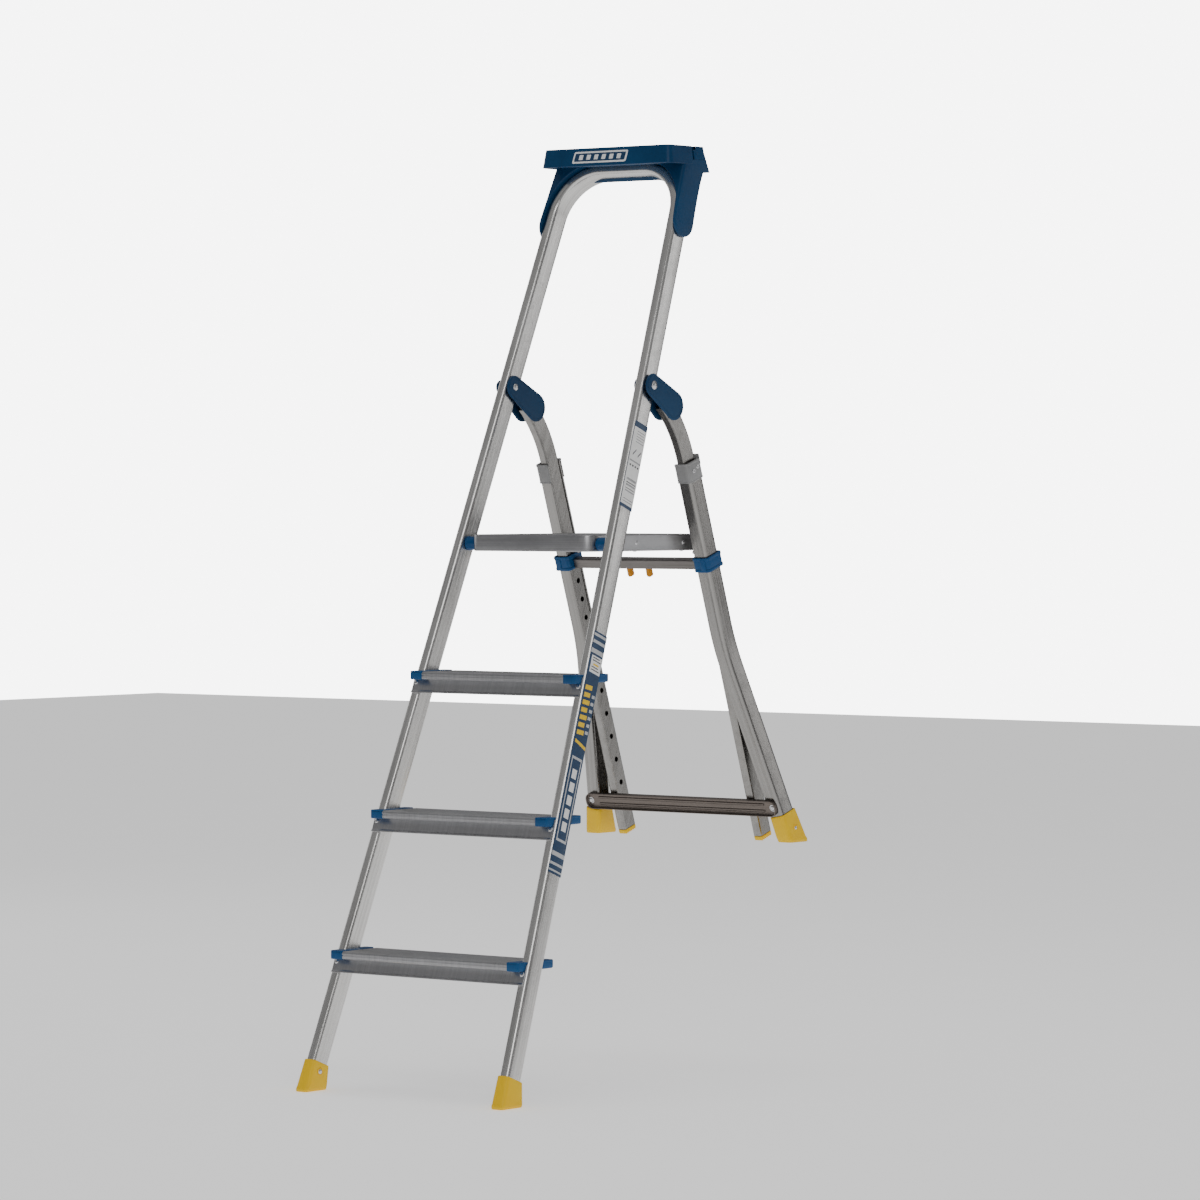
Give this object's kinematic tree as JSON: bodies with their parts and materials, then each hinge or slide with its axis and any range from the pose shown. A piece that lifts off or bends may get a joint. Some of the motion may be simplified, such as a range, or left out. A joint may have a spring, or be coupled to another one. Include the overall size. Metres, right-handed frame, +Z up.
{
  "type": "platform step ladder",
  "caption": "Folding aluminium platform step ladder with a handrail and tool tray, flat treads and rear legs that lengthen in locked steps.",
  "frame": {"origin": "centre of the bounding box in plan, at the front feet's soles", "axes": "+X to the user's right, +Y from the treads' front towards the rear legs, +Z up"},
  "size_m": [0.4508, 0.839, 1.579],
  "materials": {
    "aluminium": "satin extruded",
    "tread_aluminium": "ribbed extruded",
    "steel": "zinc plated",
    "brace_metal": "dark satin",
    "dark_blue_plastic": "moulded, fine grain",
    "blue_plastic": "moulded",
    "yellow_plastic": "moulded",
    "orange_plastic": "moulded",
    "grey_plastic": "moulded"
  },
  "bodies": {
    "front_frame": {"front_frame": "aluminium", "front_foot_left": "yellow_plastic", "front_foot_right": "yellow_plastic", "front_foot_rivet_left": "steel", "front_foot_rivet_right": "steel", "tread_1": "tread_aluminium", "tread_2": "tread_aluminium", "tread_3": "tread_aluminium", "tread_cap_1_left": "blue_plastic", "tread_cap_1_right": "blue_plastic", "tread_cap_2_left": "blue_plastic", "tread_cap_2_right": "blue_plastic", "tread_cap_3_left": "blue_plastic", "tread_cap_3_right": "blue_plastic", "tread_rivet_1_left": "steel", "tread_rivet_1_right": "steel", "tread_rivet_2_left": "steel", "tread_rivet_2_right": "steel", "tread_rivet_3_left": "steel", "tread_rivet_3_right": "steel", "top_tray": "dark_blue_plastic", "platform_bush_left": "blue_plastic", "platform_bush_right": "blue_plastic", "hinge_pin_left": "steel", "hinge_pin_right": "steel"},
    "platform": {"platform_deck": "tread_aluminium"},
    "inner_legs": {"hinge_bracket_left": "dark_blue_plastic", "hinge_bracket_right": "dark_blue_plastic", "inner_leg_left": "aluminium", "inner_leg_right": "aluminium", "leg_plug_left": "yellow_plastic", "leg_plug_right": "yellow_plastic", "rest_pin_left": "steel", "rest_pin_right": "steel"},
    "outer_legs": {"outer_leg_left": "aluminium", "outer_leg_right": "aluminium", "rear_foot_left": "yellow_plastic", "rear_foot_right": "yellow_plastic", "guide_collar_left": "grey_plastic", "guide_collar_right": "grey_plastic", "collar_rivet_1_left": "steel", "collar_rivet_1_right": "steel", "collar_rivet_2_left": "steel", "collar_rivet_2_right": "steel", "clamp_collar_left": "blue_plastic", "clamp_collar_right": "blue_plastic", "crossbar": "brace_metal", "spring_stop_left": "steel", "spring_stop_right": "steel", "latch_spring_left": "steel", "latch_spring_right": "steel", "rear_brace": "brace_metal", "brace_rivet_left": "steel", "brace_rivet_right": "steel"},
    "left_latch": {"latch_pin_left": "steel", "latch_lever_left": "orange_plastic"},
    "right_latch": {"latch_pin_right": "steel", "latch_lever_right": "orange_plastic"}
  },
  "joints": [
    {"name": "rear_fold", "type": "hinge", "parent": "front_frame", "child": "inner_legs", "pos_m": [0, 0.05558, 1.1704], "axis": [1, 0, 0], "range_deg": [-38.4, 0]},
    {"name": "platform_fold", "type": "hinge", "parent": "front_frame", "child": "platform", "pos_m": [0, -0.04727, 0.9044], "axis": [1, 0, 0], "range_deg": [0, 68.4]},
    {"name": "leg_slide", "type": "slide", "parent": "inner_legs", "child": "outer_legs", "axis": [0, 0.3224, -0.9466], "range_m": [0, 0.41]},
    {"name": "left_latch", "type": "slide", "parent": "outer_legs", "child": "left_latch", "axis": [-1, 0, 0], "range_m": [0, 0.009], "stiffness_N_per_m": 400, "springref_m": 0.012},
    {"name": "right_latch", "type": "slide", "parent": "outer_legs", "child": "right_latch", "axis": [1, 0, 0], "range_m": [0, 0.009], "stiffness_N_per_m": 400, "springref_m": 0.012}
  ],
  "couplings": [
    {"joint": "platform_fold", "follows": "rear_fold", "ratio": -1.78}
  ]
}
